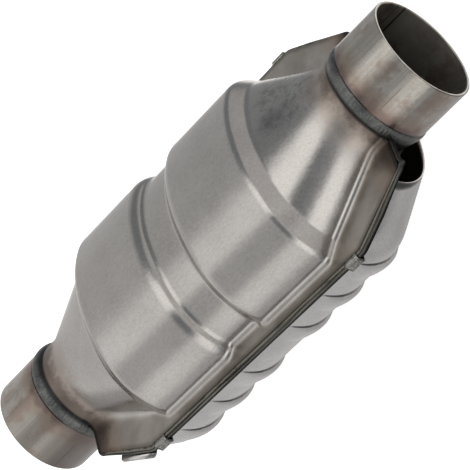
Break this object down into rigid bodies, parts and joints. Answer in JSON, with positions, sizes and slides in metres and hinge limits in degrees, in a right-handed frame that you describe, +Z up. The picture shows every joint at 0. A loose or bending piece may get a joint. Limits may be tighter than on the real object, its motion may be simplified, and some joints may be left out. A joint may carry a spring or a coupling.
{
  "type": "catalytic converter",
  "caption": "Stainless steel catalytic converter with an oval seam-welded body, pipe stubs at its ends and a ribbed heat shield underneath.",
  "frame": {"origin": "centre of the inlet mouth, on the pipe axis", "axes": "+X out of the inlet mouth along the pipe axis, +Y to the left, +Z up, away from the heat shield"},
  "size_m": [0.3286, 0.1524, 0.1057],
  "materials": {
    "body_steel": "satin",
    "pipe_steel": "brushed",
    "weld_steel": "rippled, dark",
    "shield_steel": "smooth satin",
    "block_ceramic": "matt honeycomb",
    "fibre_mat": "matt fibre",
    "mesh_steel": "knitted mesh"
  },
  "bodies": {
    "root": {"upper_shell": "body_steel", "lower_shell": "body_steel", "seam_weld_left": "weld_steel", "seam_weld_right": "weld_steel", "heat_shield": "shield_steel", "inlet_pipe": "pipe_steel", "outlet_pipe": "pipe_steel", "inlet_weld": "weld_steel", "outlet_weld": "weld_steel", "front_brick": "block_ceramic", "rear_brick": "block_ceramic", "front_mat": "fibre_mat", "rear_mat": "fibre_mat", "front_outer_seal": "mesh_steel", "front_inner_seal": "mesh_steel", "rear_outer_seal": "mesh_steel", "rear_inner_seal": "mesh_steel"}
  },
  "joints": []
}
